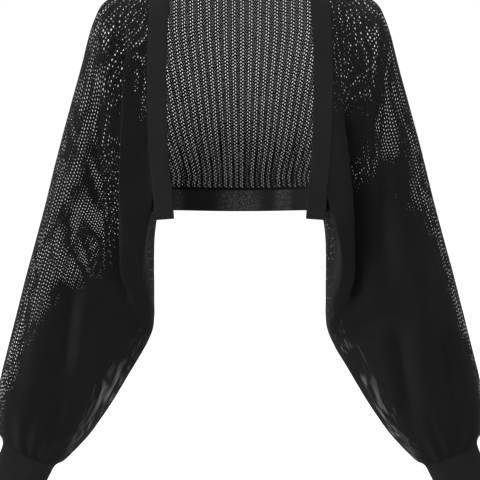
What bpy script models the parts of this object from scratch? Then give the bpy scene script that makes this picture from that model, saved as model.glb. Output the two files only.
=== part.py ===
"""Cropped open-front cardigan in open knit, worn and filled out, with batwing sleeves.

Run it with blender --background --python part.py. Tables are in millimetres and the model
is in metres: +Z is up, +X is the wearer's left and the front faces -Y. The origin lies
between the two high shoulder points, where the wearer carries the garment.

Each side is worked out once for +X and mirrored. A sleeve is a tube of rings that runs from
the front band over the shoulder and down to the cuff, so it holds its half of the front.
"""

import bmesh
import bpy
import numpy as np

MM = 0.001

# Cloth, seams and trims.
KNIT_WALL = 1.8
TRIM_WALL = 2.6
SEAM_GAP = 0.3
BAND_WIDTH = 24.0
HEM_HEIGHT = 28.5
CUFF_LENGTH = 60.0

# How finely each piece is divided.
FINE_RINGS = (4, 13)
FINE_STEP = 0.5
FRONT_POINTS = 32
BACK_POINTS = 20
PANEL_COLUMNS = 40
CUFF_POINT_STEP = 2
SMOOTH_STEPS = 260
BEND_WEIGHT = 7.0
SPOT_SMOOTHING = 4

KNIT_COLOUR = (0.016, 0.016, 0.017, 1)
TRIM_COLOUR = (0.013, 0.013, 0.014, 1)

# The front seam, from the neck side down the band's outer edge: x, y, z, and how far the
# band stands up from the cloth there, in degrees.
FRONT_SEAM = (
    (80.0, 8.0, 3.0, 52),
    (89.0, -20.0, -4.0, 42),
    (100.0, -49.0, -18.0, 28),
    (108.5, -76.0, -41.0, 14),
    (112.5, -95.0, -76.0, 5),
    (114.0, -106.0, -121.0, 0),
    (114.0, -111.0, -171.0, 0),
    (112.0, -113.0, -232.0, 0),
    (107.5, -111.5, -285.0, 0),
)
# The band's free end below the sleeve: x, y, z.
BAND_END = (
    (107.0, -111.3, -292.0),
    (106.0, -111.2, -306.0),
    (105.0, -110.8, -319.0),
)
# The sleeve's lower seam, under the arm along the outside of the hem: x, y, z.
SIDE_SEAM = (
    (108.6, -105.5, -290.5),
    (110.2, -92.0, -292.5),
    (110.4, -50.0, -293.5),
    (110.4, 0.0, -293.5),
    (110.3, 36.0, -292.5),
    (109.6, 56.0, -290.5),
)
# The back seam, from the hem's corner up to the neck side: x, y, z.
BACK_SEAM = (
    (106.5, 69.0, -286.0),
    (110.0, 84.0, -252.0),
    (111.5, 92.5, -205.0),
    (111.5, 94.0, -155.0),
    (109.0, 89.0, -105.0),
    (104.0, 78.0, -62.0),
    (97.0, 60.0, -28.0),
    (88.0, 36.0, -6.0),
    (80.0, 8.0, 3.0),
)
# The middle of the back, from the neck down to the hem: y, z, and how square the panel's
# corners are across (2 is round).
BACK_MIDDLE = (
    (57.0, 14.0, 2.2),
    (80.0, -26.0, 2.3),
    (95.0, -72.0, 2.4),
    (101.0, -122.0, 2.5),
    (103.0, -172.0, 2.6),
    (101.5, -222.0, 3.2),
    (99.0, -262.0, 4.2),
    (97.0, -289.5, 5.0),
)
# The hem's plan from the panel's corner round the side to behind the front band: x, y.
HEM_SIDE = (
    (104.4, 66.0),
    (106.3, 52.0),
    (107.2, 36.0),
    (107.2, -40.0),
    (107.0, -76.0),
    (105.6, -94.0),
    (101.8, -103.2),
    (95.0, -107.0),
)
# Sleeve rings from the body to the cuff: the outer point x, z, the point under the arm
# x, z, half the depth, the middle's y, how far the fullness sits towards the arm, and the
# share of the body's own section.
RINGS = (
    (80.0, 3.0, 110.4, -293.5, 96, -8, 0.00, 1.00),
    (118.0, -11.0, 112.4, -331.0, 92, -8, 0.00, 0.86),
    (152.0, -29.0, 113.0, -362.0, 89, -8, 0.00, 0.68),
    (176.0, -45.0, 112.5, -388.0, 86, -8, 0.02, 0.50),
    (187.0, -66.0, 112.0, -408.0, 81, -8, 0.05, 0.35),
    (194.5, -89.0, 111.8, -430.0, 77, -8, 0.08, 0.22),
    (202.5, -121.0, 111.6, -448.0, 73, -8, 0.12, 0.12),
    (212.5, -158.0, 113.5, -466.0, 70, -9, 0.17, 0.05),
    (224.0, -199.0, 119.0, -481.0, 67, -9, 0.22, 0.00),
    (236.5, -246.0, 128.0, -498.0, 65, -10, 0.27, 0.00),
    (249.0, -296.0, 138.5, -515.0, 63, -11, 0.29, 0.00),
    (262.0, -344.0, 150.5, -535.5, 62, -12, 0.28, 0.00),
    (275.0, -391.0, 163.5, -557.0, 61, -13, 0.25, 0.00),
    (288.0, -441.0, 178.0, -579.0, 60, -14, 0.21, 0.00),
    (300.5, -489.0, 193.0, -599.5, 58, -15, 0.17, 0.00),
    (311.0, -533.0, 207.5, -615.5, 54, -16, 0.12, 0.00),
    (315.5, -568.0, 220.0, -627.5, 47, -17, 0.08, 0.00),
    (313.5, -595.0, 230.0, -636.5, 37, -18, 0.04, 0.00),
    (308.0, -610.0, 238.0, -641.0, 28, -19, 0.00, 0.00),
)
SECTION_FULLNESS = 0.86
SEAM_FADE = 5

# Laps, where the cloth doubles over itself as it hangs from the shoulder: the line's top
# x, z, and low end x, z, the reach to each side, the depth, the overlap, and the length over
# which it fades in at the top and out at the bottom.
LAPS = {
    "left": ((124, -118, 141, -444, 40, 16, 18, 130, 60),),
    "right": ((138, -70, 142, -440, 38, 16, 20, 74, 58),),
}
LAP_PEAK = 1.54
# Troughs pressed into the cloth, or ridges where the depth is negative: the line's top
# x, z, and low end x, z, half the width, the depth, and the face (-1 front, 1 back).
TROUGHS = {
    "left": (
        (168, -130, 182, -440, 20, 17, -1),
        (120, -310, 126, -410, 9, 7, -1),
        (178, -438, 130, -474, 24, 6, -1),
        (251, -440, 279, -600, 13, 11, -1),
        (222, -330, 236, -520, 18, -6, -1),
        (196, -440, 222, -596, 12, 9, -1),
        (150, -60, 150, -300, 16, 6, 1),
        (196, -150, 170, -420, 15, 9, 1),
        (236, -330, 262, -560, 14, 8, 1),
        (160, -440, 226, -600, 12, 6, 1),
    ),
    "right": (
        (171, -84, 177, -390, 16, 14, -1),
        (117, -210, 121, -300, 9, 6, -1),
        (156, -432, 120, -474, 20, 6, -1),
        (207, -380, 227, -530, 13, 12, -1),
        (226, -530, 242, -612, 11, 9, -1),
        (196, -400, 208, -560, 13, -6, -1),
        (206, -280, 213, -350, 12, 6, -1),
        (262, -400, 292, -560, 12, 6, -1),
        (145, -70, 152, -280, 15, 6, 1),
        (190, -120, 176, -400, 15, 9, 1),
        (226, -300, 250, -540, 14, 8, 1),
        (176, -470, 232, -606, 12, 6, 1),
    ),
}
FACE_BLEND = 0.45
TROUGH_FADE = 3
SEAM_HOLD = 6

CUFF_GATHERS = 12
CUFF_GATHER_DEPTH = 2.6
CUFF_GATHER_START = 13.0

# Gathers that rise from the hem over the back: x at the hem, height, depth.
BACK_GATHERS = (
    (-92, 60, 2.2),
    (-76, 95, 3.0),
    (-66, 70, 2.4),
    (-52, 110, 3.4),
    (-38, 80, 2.8),
    (-25, 120, 3.6),
    (-9, 70, 2.4),
    (8, 105, 3.2),
    (22, 90, 3.0),
    (34, 60, 2.4),
    (44, 115, 3.4),
    (60, 75, 2.6),
    (70, 120, 3.6),
    (82, 90, 3.0),
    (94, 60, 2.2),
)
GATHER_HALF_WIDTH = 4.5
GATHER_FAN = 0.0011
GATHER_HEM_FADE = 18.0
GATHER_TOP_FADE = 0.8
GATHER_SIDE_FADE = 8

# The front band across its width: the share of the width, and of how far it stands up.
BAND_STATIONS = ((0.0, 0.0), (0.14, 0.35), (0.6, 1.0), (1.0, 1.0))
NECK_EASE = 0.36
# How far to each side the band's turn at the neck corner is spread, and in how many steps.
CORNER_REACH = 22.0
SPREAD_STEPS = 11
# The hem band down its height, the points along each side of it, and its ease at the seam.
HEM_STATIONS = (0.0, 0.5, 1.0)
HEM_SIDE_POINTS = 18
HEM_EASE = 0.1
# The cuff along its length: the share of the length, and of the sleeve's last ring.
CUFF_STATIONS = ((0.0, 1.0), (0.16, 0.92), (0.55, 0.88), (1.0, 0.86))
SEAM_MARGIN = 1.0
SHARP_ANGLE = 50


def spline(rows, at):
    """Reads rows of numbers at fractional row numbers, along a smooth curve."""
    rows = np.asarray(rows, float)
    at = np.clip(np.asarray(at, float), 0, len(rows) - 1)
    low = np.minimum(at.astype(int), len(rows) - 2)
    f = (at - low)[:, None]
    before = rows[np.maximum(low - 1, 0)]
    start = rows[low]
    end = rows[low + 1]
    after = rows[np.minimum(low + 2, len(rows) - 1)]
    curve = 2 * start + (end - before) * f
    curve += (2 * before - 5 * start + 4 * end - after) * f**2
    curve += (3 * start - before - 3 * end + after) * f**3
    return curve / 2


def smooth_line(rows, steps=SMOOTH_STEPS):
    return spline(rows, np.linspace(0, len(rows) - 1, steps))


def lengths(points):
    """How far along a line each of its points lies."""
    step = np.linalg.norm(np.diff(points[:, :3], axis=0), axis=1)
    return np.concatenate([[0.0], np.cumsum(step)])


def spaced(points, count, bend_weight=0.0):
    """Places for points along a line, closer by bend_weight where it turns."""
    step = np.diff(points, axis=0)
    length = np.maximum(np.linalg.norm(step[:, :3], axis=1), 1e-9)
    weight = length.copy()
    unit = step[:, :3] / length[:, None]
    turn = np.arccos(np.clip((unit[1:] * unit[:-1]).sum(1), -1, 1))
    weight[1:] += bend_weight * turn / 2
    weight[:-1] += bend_weight * turn / 2
    weighed = np.concatenate([[0], np.cumsum(weight)])
    return np.interp(np.linspace(0, weighed[-1], count), weighed, np.arange(len(points)))


def taken(points, places):
    """Reads a line's points at places between their numbers."""
    numbers = np.arange(len(points))
    columns = [np.interp(places, numbers, points[:, k]) for k in range(points.shape[1])]
    return np.stack(columns, axis=1)


def resample(points, count):
    """Spaces points evenly along a line."""
    return taken(points, spaced(points, count))


def unit_rows(vectors):
    return vectors / np.maximum(np.linalg.norm(vectors, axis=-1, keepdims=True), 1e-9)


def ramp(value):
    """A smooth step from 0 at 0 to 1 at 1."""
    value = np.clip(value, 0, 1)
    return value * value * (3 - 2 * value)


def body_halves():
    """The sleeve's first ring, from the neck side down the front and up the back."""
    front = np.array([row[:3] for row in FRONT_SEAM])
    side = np.array(SIDE_SEAM)
    back = np.array(BACK_SEAM)
    middle = (side[2] + side[3]) / 2
    first = smooth_line(np.vstack([front, side[:3], middle]))
    second = smooth_line(np.vstack([middle, side[3:], back]))
    return resample(first, SMOOTH_STEPS), resample(second, SMOOTH_STEPS)


def section_halves(ring):
    """The front and back halves of a ring before its folds, as x, y, z."""
    top_x, top_z, low_x, low_z, depth, middle, fullness, share = ring
    body_top = np.array(RINGS[0][:2])
    body_low = np.array(RINGS[0][2:4])
    halves = []
    for face, body in zip((-1, 1), body_halves()):
        rise = (body[:, 2] - body_low[1]) / (body_top[1] - body_low[1])
        line_x = body_low[0] + rise * (body_top[0] - body_low[0])
        angle = np.linspace(0, np.pi, SMOOTH_STEPS)
        if face > 0:
            angle = angle[::-1]
        swing = np.cos(angle)
        own_rise = (1 + np.sign(swing) * np.abs(swing) ** SECTION_FULLNESS) / 2
        bulge = np.sin(angle) ** SECTION_FULLNESS * (1 + fullness * swing)
        own_y = middle + face * depth * bulge
        across = share * rise + (1 - share) * own_rise
        x = low_x + across * (top_x - low_x) + share**SEAM_FADE * (body[:, 0] - line_x)
        y = share * body[:, 1] + (1 - share) * own_y
        z = low_z + across * (top_z - low_z)
        halves.append(np.stack([x, y, z], axis=1))
    return halves


def along_line(points, line):
    """How far points lie outward of a sloping line, and their place along it from 0 to 1."""
    top_x, top_z, low_x, low_z = line
    place = (points[:, 2] - top_z) / (low_z - top_z)
    return points[:, 0] - (top_x + (low_x - top_x) * place), place


def fold(points, face, ring, side):
    """Lays the side's laps and troughs into one half of a ring."""
    depth, middle = ring[4:6]
    free = 1 - ring[7] ** SEAM_HOLD
    facing = ramp(face * (points[:, 1] - middle) / (depth * FACE_BLEND)) * free
    moved = points.copy()
    if face < 0:
        for row in LAPS[side]:
            reach, lap_depth, overlap, fade_in, fade_out = row[4:]
            away, place = along_line(points, row[:4])
            drop = row[1] - row[3]
            window = ramp(place * drop / fade_in) * ramp((1 - place) * drop / fade_out)
            q = np.clip(away / reach, -1, 1)
            swing = LAP_PEAK * np.sin(np.pi * q) * np.cos(np.pi * q / 2) ** 2
            moved[:, 0] -= overlap * swing * window * facing
            moved[:, 1] += lap_depth * swing * window * facing
    for row in TROUGHS[side]:
        half_width, trough_depth, trough_face = row[4:]
        if trough_face != face:
            continue
        away, place = along_line(points, row[:4])
        window = ramp(place * TROUGH_FADE) * ramp((1 - place) * TROUGH_FADE)
        press = trough_depth * np.exp(-((away / half_width) ** 2)) * window * facing
        moved[:, 1] -= face * press
    return moved


def grid_normals(grid, closed):
    """Unit normals of a grid of points, from its rows and columns."""
    down = np.gradient(grid, axis=0)
    if closed:
        across = np.roll(grid, -1, axis=1) - np.roll(grid, 1, axis=1)
    else:
        across = np.gradient(grid, axis=1)
    return unit_rows(np.cross(across, down))


def seam_normals(ring):
    """Normals of the sleeve's first ring, square to the seam and to the way out of it."""
    along = np.roll(ring, -1, axis=0) - np.roll(ring, 1, axis=0)
    return unit_rows(np.cross(along, np.array([1.0, 0.0, 0.0])))


def sleeve_grid(side):
    """The middle of the sleeve's wall as rings from the body to the cuff, and its normals.

    The first column runs down the outside of the arm, and the columns go round by the
    front."""
    first, last = FINE_RINGS
    fine = np.arange(first, last, FINE_STEP)
    places = np.concatenate([np.arange(first), fine, np.arange(last, len(RINGS))])
    halves = []
    for face, count in ((-1, FRONT_POINTS), (1, BACK_POINTS)):
        lines = []
        for ring in spline(RINGS, places):
            lines.append(fold(section_halves(ring)[(face + 1) // 2], face, ring, side))
        spots = np.array([spaced(line, count + 1, BEND_WEIGHT) for line in lines])
        for _ in range(SPOT_SMOOTHING):
            spots[1:-1] = (spots[:-2] + 2 * spots[1:-1] + spots[2:]) / 4
        halves.append(np.array([taken(line, row)[:-1] for line, row in zip(lines, spots)]))
    grid = np.concatenate(halves, axis=1)
    normals = grid_normals(grid, closed=True)
    around = np.arange(grid.shape[1]) / grid.shape[1]
    strength = ramp((places - CUFF_GATHER_START) / (len(RINGS) - 2 - CUFF_GATHER_START))
    strength[-1] = 0.0
    wave = np.cos(2 * np.pi * CUFF_GATHERS * around)
    grid += normals * (CUFF_GATHER_DEPTH * strength[:, None] * wave)[:, :, None]
    normals = grid_normals(grid, closed=True)
    normals[0] = seam_normals(grid[0])
    axis = cuff_axis()
    normals[-1] = unit_rows(normals[-1] - (normals[-1] @ axis)[:, None] * axis)
    outward = np.cross(normals[0], np.roll(grid[0], -1, axis=0) - np.roll(grid[0], 1, axis=0))
    outward = unit_rows(outward)
    outward *= np.sign(outward[:, :1])
    grid[0] += outward * SEAM_GAP / 2
    return grid, normals


def cuff_axis():
    top_x, top_z, low_x, low_z = RINGS[-1][:4]
    across = np.array([low_x - top_x, 0, low_z - top_z])
    return unit_rows(np.array([-across[2], 0, across[0]]))


def front_seam_points(sleeve):
    """How many points of the sleeve's first ring lie on the front band's seam."""
    return int(np.sum(sleeve[0, :FRONT_POINTS, 2] > FRONT_SEAM[-1][2]))


def back_seam_points(sleeve):
    """The first point of the sleeve's first ring that lies on the back panel's seam."""
    ring = sleeve[0]
    on_seam = ring[FRONT_POINTS:, 2] > BACK_SEAM[0][2] - SEAM_MARGIN
    return FRONT_POINTS + int(np.argmax(on_seam))


def panel_grid(sleeve):
    """The middle of the back panel's wall, from the neck to the hem and across from -X."""
    first = back_seam_points(sleeve)
    seam = np.vstack([sleeve[0, first:], sleeve[0, :1]])[::-1]
    places = lengths(seam) / lengths(seam)[-1]
    middle = resample(smooth_line(BACK_MIDDLE), SMOOTH_STEPS)
    middle = spline(middle, places * (SMOOTH_STEPS - 1))
    across = np.linspace(-1, 1, PANEL_COLUMNS + 1)
    rows = []
    for edge, (middle_y, middle_z, square) in zip(seam, middle):
        edge = edge - np.array([SEAM_GAP, 0, 0])
        bulge = 1 - np.abs(across) ** square
        x = across * edge[0]
        y = edge[1] + (middle_y - edge[1]) * bulge
        z = edge[2] + (middle_z - edge[2]) * (1 - across**2)
        rows.append(np.stack([x, y, z], axis=1))
    grid = np.array(rows)
    low = BACK_MIDDLE[-1][1]
    rise = grid[:, :, 2] - low
    for x_hem, height, depth in BACK_GATHERS:
        x_here = x_hem * (1 + GATHER_FAN * rise)
        bell = np.exp(-(((grid[:, :, 0] - x_here) / GATHER_HALF_WIDTH) ** 2))
        top_fade = ramp((height - rise) / (GATHER_TOP_FADE * height))
        window = ramp(rise / GATHER_HEM_FADE) * top_fade
        edge_free = ramp((1 - np.abs(across)) * GATHER_SIDE_FADE)
        grid[:, :, 1] += depth * bell * window * edge_free
    normals = grid_normals(grid, closed=False)
    seam_side = seam_normals(sleeve[0])
    side = np.vstack([seam_side[first:], seam_side[:1]])[::-1]
    normals[:, -1] = side
    normals[:, 0] = side * np.array([-1, 1, 1])
    normals[-1, :, 2] = 0
    normals = unit_rows(normals)
    return grid, normals


def wall(name, middle, normals, thickness, closed, material):
    """Makes a closed solid of a grid of wall middles, by moving it out and in."""
    rows, columns = middle.shape[:2]
    half = normals * thickness / 2
    outer = (middle + half).reshape(-1, 3)
    inner = (middle - half).reshape(-1, 3)
    count = rows * columns
    mesh = bpy.data.meshes.new(name)
    body = bmesh.new()
    points = [body.verts.new(p * MM) for p in np.vstack([outer, inner])]
    last = columns if closed else columns - 1
    for i in range(rows - 1):
        for j in range(last):
            a = i * columns + j
            b = i * columns + (j + 1) % columns
            c = b + columns
            d = a + columns
            body.faces.new([points[k] for k in (a, d, c, b)])
            body.faces.new([points[k + count] for k in (a, b, c, d)])
    for i in (0, rows - 1):
        for j in range(last):
            a = i * columns + j
            b = i * columns + (j + 1) % columns
            body.faces.new([points[k] for k in (a, b, b + count, a + count)])
    if not closed:
        for j in (0, columns - 1):
            for i in range(rows - 1):
                a = i * columns + j
                b = a + columns
                body.faces.new([points[k] for k in (a, a + count, b + count, b)])
    bmesh.ops.recalc_face_normals(body, faces=body.faces)
    body.to_mesh(mesh)
    body.free()
    mesh.shade_smooth()
    mesh.set_sharp_from_angle(angle=np.radians(SHARP_ANGLE))
    mesh.materials.append(material)
    piece = bpy.data.objects.new(name, mesh)
    bpy.context.collection.objects.link(piece)
    piece.parent = bpy.data.objects["cardigan"]
    return piece


def mirrored(points, side):
    return points * np.array([1 if side == "left" else -1, 1, 1])


def spread(line, vectors, reach):
    """Turns the vectors along a line gently, each averaged over a reach to both sides."""
    along = lengths(line)
    total = np.zeros(vectors.shape)
    for step in np.linspace(-1, 1, SPREAD_STEPS):
        at = along + step * reach
        total += np.stack([np.interp(at, along, vectors[:, k]) for k in range(3)], axis=1)
    return unit_rows(total)


def band_half(sleeve, side):
    """The band's outer edge on one side from its free end up to the neck side, with its
    normals and how far it stands up."""
    count = front_seam_points(sleeve)
    ring = sleeve[0]
    edge = ring[:count] - np.array([SEAM_GAP, 0, 0])
    normals = seam_normals(ring)[:count]
    table = np.array(FRONT_SEAM)
    stand = np.interp(-edge[:, 2], -table[:, 2], table[:, 3])
    low = np.array(BAND_END)
    edge = np.vstack([edge, low])
    normals = np.vstack([normals, np.tile(normals[-1], (len(low), 1))])
    stand = np.concatenate([stand, np.zeros(len(low))])
    return mirrored(edge, side)[::-1], mirrored(normals, side)[::-1], stand[::-1]


def band_grid(sleeves, panel, panel_normals):
    """The front band from one free end up round the neck to the other."""
    right = band_half(sleeves["right"], "right")
    left = band_half(sleeves["left"], "left")
    neck = panel[0, 1:-1]
    neck_stand = FRONT_SEAM[0][3] * np.abs(np.linspace(-1, 1, PANEL_COLUMNS + 1)) ** 2
    edge = np.vstack([right[0], neck, left[0][::-1]])
    normals = np.vstack([right[1], panel_normals[0, 1:-1], left[1][::-1]])
    stand = np.concatenate([right[2], neck_stand[1:-1], left[2][::-1]])
    along = unit_rows(np.gradient(edge, axis=0))
    inward = unit_rows(np.cross(along, normals))
    clear = np.zeros((len(edge), 1))
    clear[len(right[0]) - 1 : len(right[0]) + len(neck) + 1] = NECK_EASE
    edge = edge + inward * clear
    grid = [edge]
    wall_normals = [normals]
    inward = spread(edge, inward, CORNER_REACH)
    normals = spread(edge, normals, CORNER_REACH)
    last_share = 0.0
    for share, bend in BAND_STATIONS[1:]:
        angle = np.radians(stand * bend)[:, None]
        way = inward * np.cos(angle) + normals * np.sin(angle)
        grid.append(grid[-1] + way * BAND_WIDTH * (share - last_share))
        wall_normals.append(normals * np.cos(angle) - inward * np.sin(angle))
        last_share = share
    return np.array(grid), np.array(wall_normals)


def hem_grid(panel):
    """The hem, from behind one end of the front band round the back to the other."""
    back = panel[-1, 1:-1, :2]
    side = smooth_line(np.vstack([back[-1], HEM_SIDE]))
    side = resample(side, HEM_SIDE_POINTS)[1:]
    plan = np.vstack([(side * np.array([-1, 1]))[::-1], back, side])
    along = unit_rows(np.gradient(plan, axis=0))
    facing = np.stack([-along[:, 1], along[:, 0], np.zeros(len(plan))], axis=1)
    back_z = panel[-1, 1:-1, 2] - SEAM_GAP - HEM_EASE
    top = np.concatenate([np.full(len(side), back_z[0]), back_z, np.full(len(side), back_z[-1])])
    rows = []
    for share in HEM_STATIONS:
        z = top - share * HEM_HEIGHT
        rows.append(np.column_stack([plan, z]))
    return np.array(rows), np.array([facing] * len(rows))


def cuff_grid(sleeve, normals):
    """A cuff that goes on from the sleeve's last ring along the cuff's axis."""
    axis = cuff_axis()
    ring = sleeve[-1, ::CUFF_POINT_STEP]
    middle = ring.mean(axis=0)
    spoke = ring - middle
    rows = []
    for share, size in CUFF_STATIONS:
        rows.append(middle + axis * (SEAM_GAP + share * CUFF_LENGTH) + spoke * size)
    return np.array(rows), np.array([normals[-1, ::CUFF_POINT_STEP]] * len(rows))


def knit(name, colour, roughness):
    material = bpy.data.materials.new(name)
    material.use_nodes = True
    shader = material.node_tree.nodes["Principled BSDF"]
    shader.inputs["Base Color"].default_value = colour
    shader.inputs["Roughness"].default_value = roughness
    shader.inputs["Metallic"].default_value = 0.0
    material.diffuse_color = colour
    return material


def build():
    for old in list(bpy.data.objects):
        bpy.data.objects.remove(old, do_unlink=True)
    carried_at = bpy.data.objects.new("cardigan", None)
    bpy.context.collection.objects.link(carried_at)
    open_knit = knit("open_knit", KNIT_COLOUR, 0.85)
    fine_knit = knit("fine_knit", TRIM_COLOUR, 0.8)
    sleeves = {}
    for side in ("left", "right"):
        grid, normals = sleeve_grid(side)
        sleeves[side] = grid
        wall(
            f"sleeve_{side}", mirrored(grid, side), mirrored(normals, side),
            KNIT_WALL, True, open_knit,
        )
        cuff, cuff_normals = cuff_grid(grid, normals)
        wall(
            f"cuff_{side}", mirrored(cuff, side), mirrored(cuff_normals, side),
            TRIM_WALL, True, fine_knit,
        )
    panel, panel_normals = panel_grid(sleeves["left"])
    wall("back", panel, panel_normals, KNIT_WALL, False, open_knit)
    hem, hem_normals = hem_grid(panel)
    wall("hem_band", hem, hem_normals, TRIM_WALL, False, fine_knit)
    band, band_normals = band_grid(sleeves, panel, panel_normals)
    wall("front_band", band, band_normals, TRIM_WALL, False, fine_knit)


build()
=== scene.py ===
"""Look of a cropped open-front cardigan in open knit, worn and filled out.

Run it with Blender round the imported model. Tables and lengths in the functions are in
millimetres, and the cloth follows the same rings and seams as the model's solids."""

import bpy
import numpy as np
from bpy.props import FloatProperty, FloatVectorProperty, IntProperty, PointerProperty
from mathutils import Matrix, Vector


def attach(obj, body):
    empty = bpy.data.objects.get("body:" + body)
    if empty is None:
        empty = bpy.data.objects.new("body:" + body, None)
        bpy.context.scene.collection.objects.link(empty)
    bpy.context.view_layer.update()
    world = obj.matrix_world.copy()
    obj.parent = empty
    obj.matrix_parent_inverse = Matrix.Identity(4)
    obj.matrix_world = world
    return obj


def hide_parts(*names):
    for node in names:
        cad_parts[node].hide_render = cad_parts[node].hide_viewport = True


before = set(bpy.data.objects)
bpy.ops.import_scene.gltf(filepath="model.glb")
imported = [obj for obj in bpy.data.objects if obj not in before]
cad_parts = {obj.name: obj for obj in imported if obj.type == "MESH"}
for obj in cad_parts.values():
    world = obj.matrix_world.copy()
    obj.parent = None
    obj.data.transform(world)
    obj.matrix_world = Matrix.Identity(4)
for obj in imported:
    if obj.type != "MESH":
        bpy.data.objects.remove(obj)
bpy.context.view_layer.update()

bl_info = {
    "name": "Open-knit cardigan",
    "version": (1, 0, 0),
    "blender": (4, 5, 0),
    "location": "View3D > Sidebar > Cardigan",
    "description": "Builds an open-knit cardigan piece by piece, and its studio",
    "category": "Add Mesh",
}

MM = 0.001

# The gap at every seam, and how far the knit goes on under a band.
SEAM_GAP = 0.3
SEAM_LAP = 1.5
# Points on a smooth line, and round each half of the sleeve's first ring.
SMOOTH_STEPS = 420
RING_POINTS = 240
# Columns across the back, for the knit and for the bands along it.
KNIT_COLUMNS = 240
BAND_COLUMNS = 120

# The front seam, from the neck side down the band's outer edge: x, y, z, and how far the
# band stands up from the cloth there, in degrees.
FRONT_SEAM = (
    (80, 8, 3, 52), (89, -20, -4, 42), (100, -49, -18, 28), (108.5, -76, -41, 14),
    (112.5, -95, -76, 5), (114, -106, -121, 0), (114, -111, -171, 0), (112, -113, -232, 0),
    (107.5, -111.5, -285, 0),
)
# The band's free end below the sleeve, as x, y, z, and the points along it.
BAND_END_POINTS = 24
BAND_END = ((107, -111.3, -292), (106, -111.2, -306), (105, -110.8, -319))
# The sleeve's lower seam, under the arm along the outside of the hem: x, y, z.
SIDE_SEAM = (
    (108.6, -105.5, -290.5), (110.2, -92, -292.5), (110.4, -50, -293.5), (110.4, 0, -293.5),
    (110.3, 36, -292.5), (109.6, 56, -290.5),
)
# The back seam, from the hem's corner up to the neck side: x, y, z.
BACK_SEAM = (
    (106.5, 69, -286), (110, 84, -252), (111.5, 92.5, -205), (111.5, 94, -155), (109, 89, -105),
    (104, 78, -62), (97, 60, -28), (88, 36, -6), (80, 8, 3),
)
# The middle of the back, from the neck down to the hem: y, z, and how square the panel's
# corners are across (2 is round).
BACK_MIDDLE = (
    (57, 14, 2.2), (80, -26, 2.3), (95, -72, 2.4), (101, -122, 2.5), (103, -172, 2.6),
    (101.5, -222, 3.2), (99, -262, 4.2), (97, -289.5, 5),
)
# The hem's plan from the panel's corner round the side to behind the front band, as x, y,
# the points along it and the rows down the hem.
HEM_SIDE_POINTS = 70
HEM_ROWS = 9
HEM_SIDE = (
    (104.4, 66), (106.3, 52), (107.2, 36), (107.2, -40), (107, -76), (105.6, -94),
    (101.8, -103.2), (95, -107),
)
# Sleeve rings from the body to the cuff: the outer point x, z, the point under the arm
# x, z, half the depth, the middle's y, how far the fullness sits towards the arm, and the
# share of the body's own section.
RINGS = (
    (80, 3, 110.4, -293.5, 96, -8, 0, 1), (118, -11, 112.4, -331, 92, -8, 0, 0.86),
    (152, -29, 113, -362, 89, -8, 0, 0.68), (176, -45, 112.5, -388, 86, -8, 0.02, 0.5),
    (187, -66, 112, -408, 81, -8, 0.05, 0.35), (194.5, -89, 111.8, -430, 77, -8, 0.08, 0.22),
    (202.5, -121, 111.6, -448, 73, -8, 0.12, 0.12),
    (212.5, -158, 113.5, -466, 70, -9, 0.17, 0.05), (224, -199, 119, -481, 67, -9, 0.22, 0),
    (236.5, -246, 128, -498, 65, -10, 0.27, 0), (249, -296, 138.5, -515, 63, -11, 0.29, 0),
    (262, -344, 150.5, -535.5, 62, -12, 0.28, 0), (275, -391, 163.5, -557, 61, -13, 0.25, 0),
    (288, -441, 178, -579, 60, -14, 0.21, 0), (300.5, -489, 193, -599.5, 58, -15, 0.17, 0),
    (311, -533, 207.5, -615.5, 54, -16, 0.12, 0), (315.5, -568, 220, -627.5, 47, -17, 0.08, 0),
    (313.5, -595, 230, -636.5, 37, -18, 0.04, 0), (308, -610, 238, -641, 28, -19, 0, 0),
)
# How square a section is (1 is round), and how soon it leaves the body's own behind.
SECTION_FULLNESS = 0.86
SEAM_FADE = 5
# How much the sleeve's lines spread at its outer line and under the arm.
OUTER_CROWD = 0.32
UNDER_CROWD = 0.16

# Laps, where the cloth doubles over itself as it hangs from the shoulder: the line's top
# x, z, and low end x, z, the reach to each side, the depth, the overlap, and the length over
# which it fades in at the top and out at the bottom.
LAPS = {
    "left": ((124, -118, 141, -444, 40, 16, 18, 130, 60),),
    "right": ((138, -70, 142, -440, 38, 16, 20, 74, 58),),
}
# What brings the lap's swing to 1 at its highest.
LAP_PEAK = 1.54
# Troughs pressed into the cloth, or ridges where the depth is negative: the line's top
# x, z, and low end x, z, half the width, the depth, and the face (-1 front, 1 back).
TROUGHS = {
    "left": (
        (168, -130, 182, -440, 20, 17, -1), (120, -310, 126, -410, 9, 7, -1),
        (178, -438, 130, -474, 24, 6, -1), (251, -440, 279, -600, 13, 11, -1),
        (222, -330, 236, -520, 18, -6, -1), (196, -440, 222, -596, 12, 9, -1),
        (150, -60, 150, -300, 16, 6, 1), (196, -150, 170, -420, 15, 9, 1),
        (236, -330, 262, -560, 14, 8, 1), (160, -440, 226, -600, 12, 6, 1),
    ),
    "right": (
        (171, -84, 177, -390, 16, 14, -1), (117, -210, 121, -300, 9, 6, -1),
        (156, -432, 120, -474, 20, 6, -1), (207, -380, 227, -530, 13, 12, -1),
        (226, -530, 242, -612, 11, 9, -1), (196, -400, 208, -560, 13, -6, -1),
        (206, -280, 213, -350, 12, 6, -1), (262, -400, 292, -560, 12, 6, -1),
        (145, -70, 152, -280, 15, 6, 1), (190, -120, 176, -400, 15, 9, 1),
        (226, -300, 250, -540, 14, 8, 1), (176, -470, 232, -606, 12, 6, 1),
    ),
}
# How soon a fold sets in from the sleeve's edges, along its own line and from the seam.
FACE_BLEND = 0.45
TROUGH_FADE = 3
SEAM_HOLD = 6

# Gathers round the cuff, how deep, and the rings over which they rise and end.
CUFF_GATHERS = 12
CUFF_GATHER_DEPTH = 1.6
CUFF_GATHER_START = 13
CUFF_GATHER_END = 0.6

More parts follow.
